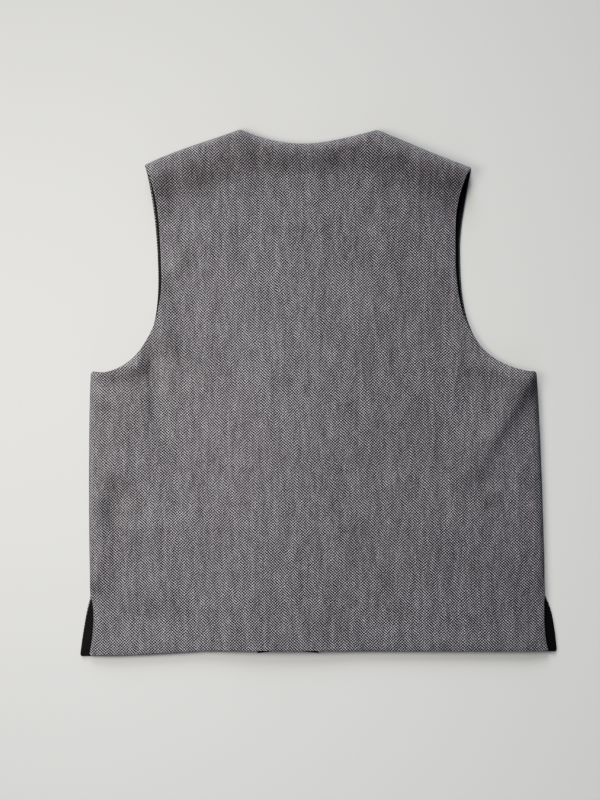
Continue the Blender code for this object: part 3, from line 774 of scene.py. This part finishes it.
def make_wool():
    """Ribs of two yarns on the flat cloth, with slubs, a low relief and a faint sheen."""
    wool, tree, shader = new_material("two_tone_worsted_wool", WOOL_FINISH)
    cut = add(tree, "ShaderNodeUVMap", uv_map="cut")
    mm = stretched(tree, cut.outputs[0], (1 / MM, 1 / MM, 1 / MM))

    # The place on the cloth, bent as the yarns wander.
    bent = mm
    for across, up, amount in WANDERS:
        wander = flat_noise(tree, stretched(tree, mm, (1 / across, 1 / up, 1)), detail=1.0)
        inputs = {0: wander.outputs["Color"], 1: (0.5, 0.5, 0.5)}
        offset = add(tree, "ShaderNodeVectorMath", inputs, operation="SUBTRACT")
        inputs = {0: offset.outputs[0], 1: (amount, amount, 0), 2: bent}
        bent = add(tree, "ShaderNodeVectorMath", inputs, operation="MULTIPLY_ADD").outputs[0]

    # The bands, which swing from one set of ribs to the other.
    turn = math.tau / BAND_WIDTH
    phase = slanted(tree, mm, (BAND_ACROSS * turn, BAND_UP * turn, 0))
    for width, amount in DRIFTS:
        phase = scaled(tree, flat_noise(tree, mm, 1 / width).outputs["Fac"], amount, phase)
    swing = wave(tree, phase)

    # The ribs, squashed into two solid yarns.
    ribs = []
    for slant, mean, share in RIB_SETS:
        crest = wave(tree, slanted(tree, bent, (math.tau / RIB_ACROSS, slant * math.tau / RIB_UP, 0)))
        weight = scaled(tree, swing, share, mean)
        ribs.append(add(tree, "ShaderNodeMath", {0: crest, 1: weight}, operation="MULTIPLY").outputs[0])
    both = add(tree, "ShaderNodeMath", {0: ribs[0], 1: ribs[1]}, operation="ADD").outputs[0]
    firm = scaled(tree, both, RIB_FIRMNESS, RIB_BALANCE)
    weave = add(tree, "ShaderNodeMath", {0: firm}, operation="TANH").outputs[0]
    yarns = blend(tree, scaled(tree, weave, 0.5, 0.5), YARN_DARK, YARN_PALE)

    # The slubs.
    level = 0.0
    for across, up, amount in SLUBS:
        slub = flat_noise(tree, stretched(tree, mm, (1 / across, 1 / up, 1)))
        step = scaled(tree, slub.outputs["Fac"], amount, -0.5 * amount)
        level = add(tree, "ShaderNodeMath", {0: step, 1: level}, operation="ADD").outputs[0]
    gain = add(tree, "ShaderNodeMath", {0: level}, operation="EXPONENT").outputs[0]
    colour = add(tree, "ShaderNodeVectorMath", {0: yarns, "Scale": gain}, operation="SCALE")
    tree.links.new(colour.outputs[0], shader.inputs["Base Color"])
    relief(tree, shader, weave, 0.35, WEAVE_RELIEF)
    print("wool:", len(tree.nodes), "nodes")
    return wool


wool = make_wool()

# %% [markdown]
# ## The lining
#
# A black cupro twill. It is smooth, so it keeps a low sheen, and its fine diagonal rib shows only close
# up. The rib is 0.4 mm apart on the real cloth and is drawn at twice that.

# %% Lining material
LINING_RIB = 0.8
LINING_SLANT = 1.6
LINING_FINISH = {"Roughness": 0.55, "Specular IOR Level": 0.35}


def make_lining_material():
    """A smooth black twill with a low sheen."""
    lining, tree, shader = new_material("black_cupro_twill", LINING_FINISH)
    cut = add(tree, "ShaderNodeUVMap", uv_map="cut")
    fine_ribs(tree, shader, cut.outputs[0], LINING_RIB, LINING_SLANT, ("#0b0b0c", "#141416"), 0.3)
    print("lining:", len(tree.nodes), "nodes")
    return lining


lining = make_lining_material()

# %% [markdown]
# ## The fronts and their linings
#
# A front's rows give its outline. A free edge is set in by the rim's radius, so that the rim ends at the
# cut; at a seam the cloth has turned upright, and its rim points along the wall instead. The lining is
# the same surface, set in from the edge by what is turned in, and moved up by the wool's thickness.

# %% Fronts
SEAMS = ("side_left", "side_right", "shoulder")
TIP = 6.0
FRONT_STEP = 4.6
BACK_STEP = 3.1


def wool_edges(rows):
    """How far the wool's outline is set in: the rim's radius at free edges, and nothing at seams."""
    seams = [line for name in SEAMS for line in line_of(rows, name)]

    def inset(row, points):
        """The distance at each point of an edge."""
        return np.zeros(len(points)) if row.edge in SEAMS else RIM * ease(0, TIP, distance(seams, points))

    return inset


def lining_edge(row, points):
    """How far the lining's outline is set in: what is turned in, and its own rim."""
    share = np.linspace(0, 1, len(points), endpoint=False)
    return row.turn + (row.turn_end - row.turn) * share + LINING / 2 * RIM_REACH


def declare(piece, node):
    """Attaches a panel to the root and hides the part that it stands for."""
    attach(piece, "root")
    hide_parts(node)


def make_front(side, rows, height):
    """A front with its lining on it. Returns the lining, on which the next panel lies."""
    loop = outline(rows, wool_edges(rows))
    front = sheet(f"{side}_front_cloth", loop, FRONT_STEP, height, 0.0, WOOL)
    front.data.materials.append(wool)
    declare(front, f"front_{side}")
    loop = outline(rows, lining_edge)
    inner = sheet(f"{side}_lining_cloth", loop, FRONT_STEP, height, LINING_LIFT, LINING_LIFT + LINING)
    inner.data.materials.append(lining)
    declare(inner, f"front_lining_{side}")
    return inner


right_lining = make_front("right", FRONT_RIGHT_ROWS, right_front_height)
left_lining = make_front("left", FRONT_LEFT_ROWS, left_front_height)

# %% [markdown]
# ## The back
#
# One whole piece with no centre seam. Where it rolls down to a side seam, the flat cloth reaches further
# than its shadow on the floor, so the UV map is spread there by the extra length of the roll.

# %% Back
ROLL_FULLNESS = 0.8


def back_unrolled(points):
    """How far the flat cloth lies outside its place as seen from above, where the cloth rolls."""
    extra = np.zeros_like(points)
    for name, outward in (("side_left", (-1, 0)), ("side_right", (1, 0)), ("shoulder", (0, 1))):
        width = BACK_ROLL[name]
        near = np.clip(1 - distance(line_of(BACK_ROWS, name), points) / width, 0, 1)
        length = ROLL_FULLNESS * width * (np.arcsin(near) - near)
        if name != "shoulder":
            length = length * seam_share(points)
        extra += length[:, None] * np.array(outward)
    return extra


back_loop = outline(BACK_ROWS, wool_edges(BACK_ROWS))
back = sheet("back_cloth", back_loop, BACK_STEP, back_height, -WOOL, 0.0, back_unrolled)
back.data.materials.append(wool)
declare(back, "back")

# %% [markdown]
# ## Buttons
#
# Four-hole buttons, 15 mm wide, turned from dark polyester rod: a flat back, a thick soft rim and a
# dished middle. They are sewn to the left front and come through the right one, so each lies against the
# right front's face, looking down. One is made from a cylinder by insets, a bevel and four drilled holes,
# and then copied.

# %% Polyester and thread
HORN_STREAKS = (260, 90, 260)
TWIST_WIDTH = 0.5
TWIST_SLANT = 0.4


def make_polyester():
    """Cast polyester: a hard gloss over cloudy brown-black streaks, as in horn."""
    polyester, tree, shader = new_material("cast_dark_polyester", {"IOR": 1.54})
    spot = add(tree, "ShaderNodeTexCoord")
    drawn = stretched(tree, spot.outputs["Object"], HORN_STREAKS)
    clouds = add(tree, "ShaderNodeTexNoise", {"Vector": drawn, "Scale": 1.0, "Detail": 4.0}).outputs["Fac"]
    wear = add(tree, "ShaderNodeMapRange", {"Value": clouds, "To Min": 0.26, "To Max": 0.42})
    tree.links.new(blend(tree, clouds, "#141212", "#3a332e"), shader.inputs["Base Color"])
    tree.links.new(wear.outputs[0], shader.inputs["Roughness"])
    return polyester


def make_thread_material():
    """Twisted polyester thread: fine ridges across the strand, with a silky sheen."""
    thread, tree, shader = new_material("charcoal_button_twist", {"Roughness": 0.6, "Sheen Weight": 0.2})
    spot = add(tree, "ShaderNodeTexCoord").outputs["Object"]
    fine_ribs(tree, shader, spot, TWIST_WIDTH, TWIST_SLANT, ("#1c1c1f", "#3c3c40"), 0.5)
    return thread


polyester = make_polyester()
twist = make_thread_material()
print("materials:", [material.name for material in bpy.data.materials][-2:])

# %% Working by hand
def nothing_selected():
    """Leaves edit mode and deselects everything."""
    if bpy.context.mode != "OBJECT":
        bpy.ops.object.mode_set(mode="OBJECT")
    bpy.ops.object.select_all(action="DESELECT")


def select_faces(piece, wanted):
    """Goes into edit mode with just those faces selected whose middle and normal are wanted."""
    bpy.ops.object.mode_set(mode="EDIT")
    bpy.ops.mesh.select_mode(type="FACE")
    bpy.ops.mesh.select_all(action="DESELECT")
    bpy.ops.object.mode_set(mode="OBJECT")
    for face in piece.data.polygons:
        face.select = bool(wanted(face.center / MM, face.normal))
    bpy.ops.object.mode_set(mode="EDIT")


def modified(piece, name, kind, **settings):
    """Adds a modifier, sets it and applies it."""
    bpy.context.view_layer.objects.active = piece
    made = piece.modifiers.new(name, kind)
    for key, value in settings.items():
        setattr(made, key, value)
    bpy.ops.object.modifier_apply(modifier=name)


def repeated(piece, name, count, apart):
    """Repeats a piece along Y, some mm apart."""
    modified(piece, name, "ARRAY", count=count, use_relative_offset=False, use_constant_offset=True,
             constant_offset_displace=(0, apart * MM, 0))


def finished(piece, title, material):
    """Gives a piece its one material."""
    piece.data.materials.clear()
    piece.data.materials.append(material)
    print(title, "has", len(piece.data.polygons), "faces")


# %% One button
BUTTON_SIDES = 64
BUTTON_RIM = 2.0
RIM_SLOPE = 0.9
DISH_DEPTH = 0.75
EDGE_BEVEL = 0.55
HOLE_WIDTH = 1.8
HOLE_SPREAD = 1.9
HOLE_SIDES = 20
HOLE_COUNT = 4
HOLE_TURN = 45
BUTTON_CLEAR = 0.05
DOWNWARD = -0.9
BEVEL_FROM = 25
SHARP_FROM = 35

nothing_selected()
bpy.ops.mesh.primitive_cylinder_add(
    vertices=BUTTON_SIDES,
    radius=BUTTON_WIDTH / 2 * MM,
    depth=BUTTON_THICK * MM,
    location=(0, 0, (BUTTON_THICK / 2 + BUTTON_CLEAR) * MM),
)
button = bpy.context.active_object
bpy.ops.object.transform_apply(location=True, rotation=True, scale=True)
select_faces(button, lambda middle, normal: normal.z < DOWNWARD)
bpy.ops.mesh.inset(thickness=BUTTON_RIM * MM, depth=0)
bpy.ops.mesh.inset(thickness=RIM_SLOPE * MM, depth=-DISH_DEPTH * MM)
bpy.ops.object.mode_set(mode="OBJECT")
modified(button, "soft edges", "BEVEL", width=EDGE_BEVEL * MM, segments=4, limit_method="ANGLE",
         angle_limit=math.radians(BEVEL_FROM))
for number in range(HOLE_COUNT):
    angle = math.radians(HOLE_TURN + 360 / HOLE_COUNT * number)
    place = (HOLE_SPREAD * math.cos(angle) * MM, HOLE_SPREAD * math.sin(angle) * MM, 0)
    nothing_selected()
    bpy.ops.mesh.primitive_cylinder_add(vertices=HOLE_SIDES, radius=HOLE_WIDTH / 2 * MM,
                                        depth=4 * BUTTON_THICK * MM, location=place)
    drill = bpy.context.active_object
    modified(button, "hole", "BOOLEAN", operation="DIFFERENCE", solver="EXACT", object=drill)
    bpy.data.objects.remove(drill)
nothing_selected()
button.select_set(True)
bpy.ops.object.shade_smooth_by_angle(angle=math.radians(SHARP_FROM))
finished(button, "button", polyester)

# %% Its thread
STRAND = 0.42
STRANDS = 3
BARS = 2
STRAND_BEND = 0.3
STRAND_FLAT = 0.72
SHANK_SPARE = 0.15
SHANK_END = BUTTON_CLEAR + BUTTON_THICK + SHANK_SPARE
hole_reach = HOLE_SPREAD * math.cos(math.radians(HOLE_TURN))
strand_low = DISH_DEPTH + BUTTON_CLEAR - STRAND / 2
STRAND_ROUTE = [
    (-hole_reach, SHANK_END),
    (-hole_reach, strand_low + STRAND_BEND),
    (-STRAND_FLAT * hole_reach, strand_low),
    (STRAND_FLAT * hole_reach, strand_low),
    (hole_reach, strand_low + STRAND_BEND),
    (hole_reach, SHANK_END),
]

nothing_selected()
bpy.ops.curve.primitive_nurbs_path_add(location=(0, 0, 0))
thread = bpy.context.active_object
thread.data.splines.clear()
route = thread.data.splines.new("POLY")
route.points.add(len(STRAND_ROUTE) - 1)
for point, (x, z) in zip(route.points, STRAND_ROUTE):
    point.co = (x * MM, -STRAND * MM - hole_reach * MM, z * MM, 1)
thread.data.bevel_depth = STRAND / 2 * MM
thread.data.bevel_resolution = 1
thread.data.use_fill_caps = True
bpy.ops.object.convert(target="MESH")
thread = bpy.context.active_object
repeated(thread, "strands", STRANDS, STRAND)
repeated(thread, "bars", BARS, 2 * hole_reach)
bpy.ops.object.shade_smooth()
finished(thread, "thread", twist)

# %% [markdown]
# ## Buttonholes
#
# A tailor's buttonhole lies across the front's edge, a little longer than the button is wide. It is bound
# with close stitches, which stand up as a soft rim round the slit. Here that rim is a long oval: a circle
# that is pulled apart in the middle, inset, lifted and rounded, then laid on the curved face of the right
# front.

# %% One buttonhole
HOLE_LENGTH = 17.5
BINDING_WIDTH = 2.8
BINDING_RISE = 0.3
BINDING_LIE = 0.04
BINDING_CUT = 0.7
BINDING_SIDES = 32
BINDING_STEP = 0.5
BINDING_INNER = 0.6
BINDING_THICK = 0.15

nothing_selected()
bpy.ops.mesh.primitive_circle_add(
    vertices=BINDING_SIDES,
    radius=BINDING_WIDTH / 2 * MM,
    fill_type="NGON",
    location=(0, 0, 0),
)
binding = bpy.context.active_object
for point in binding.data.vertices:
    point.co.x += (HOLE_LENGTH - BINDING_WIDTH) * MM if point.co.x > 0 else 0
select_faces(binding, lambda middle, normal: True)
bpy.ops.mesh.inset(thickness=BINDING_STEP * MM, depth=0)
bpy.ops.transform.translate(value=(0, 0, -BINDING_RISE * MM))
bpy.ops.mesh.inset(thickness=BINDING_STEP * MM, depth=0)
bpy.ops.transform.translate(value=(0, 0, BINDING_INNER * BINDING_RISE * MM))
bpy.ops.mesh.delete(type="FACE")
for step in range(1, round(HOLE_LENGTH / BINDING_CUT)):
    bpy.ops.mesh.select_all(action="SELECT")
    bpy.ops.mesh.bisect(plane_co=((step * BINDING_CUT - BINDING_WIDTH / 2) * MM, 0, 0), plane_no=(1, 0, 0))
bpy.ops.object.mode_set(mode="OBJECT")
modified(binding, "thread", "SOLIDIFY", thickness=BINDING_THICK * MM, offset=0)
bpy.ops.object.shade_smooth()
finished(binding, "buttonhole", twist)

# %% Buttons in their places
BUTTONHOLE_START = -2.0


def placed(master, name, x, y):
    """A copy with its own mesh, moved in the mesh, riding on the garment."""
    made = bpy.data.objects.new(name, master.data.copy())
    bpy.context.scene.collection.objects.link(made)
    made.data.transform(Matrix.Translation((x * MM, y * MM, 0)))
    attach(made, "root")
    return made


for number, (x, y) in enumerate(button_places(), start=1):
    disc = placed(button, f"button_disc_{number}", x, y)
    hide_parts(f"button_{number}")
    placed(thread, f"button_thread_{number}", x, y)
    bound = placed(binding, f"buttonhole_{number}", x + BUTTONHOLE_START, y)
    flat = np.array([tuple(point.co)[:2] for point in bound.data.vertices]) / MM
    for point, rise in zip(bound.data.vertices, right_front_height(flat)):
        point.co.z += (rise - BINDING_LIE) * MM
for master in (button, thread, binding):
    bpy.data.objects.remove(master)
print("buttons placed:", BUTTON_COUNT)

# %% [markdown]
# ## Floor, light and camera
#
# The waistcoat lies on a pale painted board. A big low window-like light beyond the neck, with a grid on
# it so that it falls off down the board, draws the folds and the shoulders. A small softbox near by on
# the left makes the cloth grow darker to the right. A weak card beyond the hem and a faint sky keep the
# shadows open. The camera looks straight down from two metres.

# %% Floor
FLOOR_SIZE = 12.0
FLOOR_DROP = 0.0001
nothing_selected()
bpy.ops.mesh.primitive_plane_add(size=FLOOR_SIZE, location=(0, 0, -FLOOR_DROP))
floor = bpy.context.active_object
floor.name = "floor"
bpy.ops.object.transform_apply(location=True, rotation=True, scale=True)
paint, tree, shader = new_material("matt_white_paint", {"Roughness": 0.7})
spot = add(tree, "ShaderNodeTexCoord")
mottle = add(tree, "ShaderNodeTexNoise", {"Vector": spot.outputs["Object"], "Scale": 3.0, "Detail": 3.0})
tone = blend(tree, mottle.outputs["Fac"], "#e8e8e6", "#ebebea")
tree.links.new(tone, shader.inputs["Base Color"])
floor.data.materials.append(paint)
print("floor:", FLOOR_SIZE, "m across")

# %% Light
def area_light(name, place, target, size, power, colour, spread=180):
    """A square soft light that faces a target. A spread under 180 degrees is a grid on its front."""
    data = bpy.data.lights.new(name, "AREA")
    data.shape = "SQUARE"
    data.size = size
    data.energy = power
    data.color = linear(colour)[:3]
    data.spread = math.radians(spread)
    lamp = bpy.data.objects.new(name, data)
    bpy.context.scene.collection.objects.link(lamp)
    lamp.location = place
    lamp.rotation_euler = (Vector(target) - Vector(place)).to_track_quat("-Z", "Y").to_euler()


def towards(azimuth, elevation, away):
    """A place at some distance from the middle of the floor. Azimuth 0 is +X and 90 is +Y."""
    a, e = math.radians(azimuth), math.radians(elevation)
    return (away * math.cos(e) * math.cos(a), away * math.cos(e) * math.sin(a), away * math.sin(e))


area_light(
    "window",
    towards(103, 27, 3.0),
    target=(-0.16, -0.25, 0),
    size=2.3,
    power=16.2,
    colour="#f9faf7",
    spread=46,
)
area_light("left_softbox", towards(174, 56, 0.8), target=(0, 0, 0), size=0.4, power=4.1, colour="#fff9ec")
area_light("fill_card", towards(268, 24, 2.6), target=(0, -0.1, 0), size=1.2, power=10.0, colour="#f6f8fb")
world = bpy.data.worlds.new("room")
world.use_nodes = True
sky = world.node_tree.nodes["Background"]
sky.inputs["Color"].default_value = linear("#dce6f8")
sky.inputs["Strength"].default_value = 0.10
bpy.context.scene.world = world
bpy.context.scene.view_settings.view_transform = "Filmic"
bpy.context.scene.view_settings.look = "Very High Contrast"

# %% Camera
CAMERA_HEIGHT = 2.0
VIEW_LENGTH = 0.901
VIEW_CENTRE = (-0.0208, -0.0073)
CLOTH_LEVEL = 0.008
SENSOR = 36.0
camera = bpy.data.cameras.new("camera")
camera.sensor_width = SENSOR
camera.lens = SENSOR * CAMERA_HEIGHT / VIEW_LENGTH
eye = bpy.data.objects.new("camera", camera)
bpy.context.scene.collection.objects.link(eye)
eye.location = (*VIEW_CENTRE, CAMERA_HEIGHT + CLOTH_LEVEL)
bpy.context.scene.camera = eye
print("camera lens:", round(camera.lens, 1), "mm")
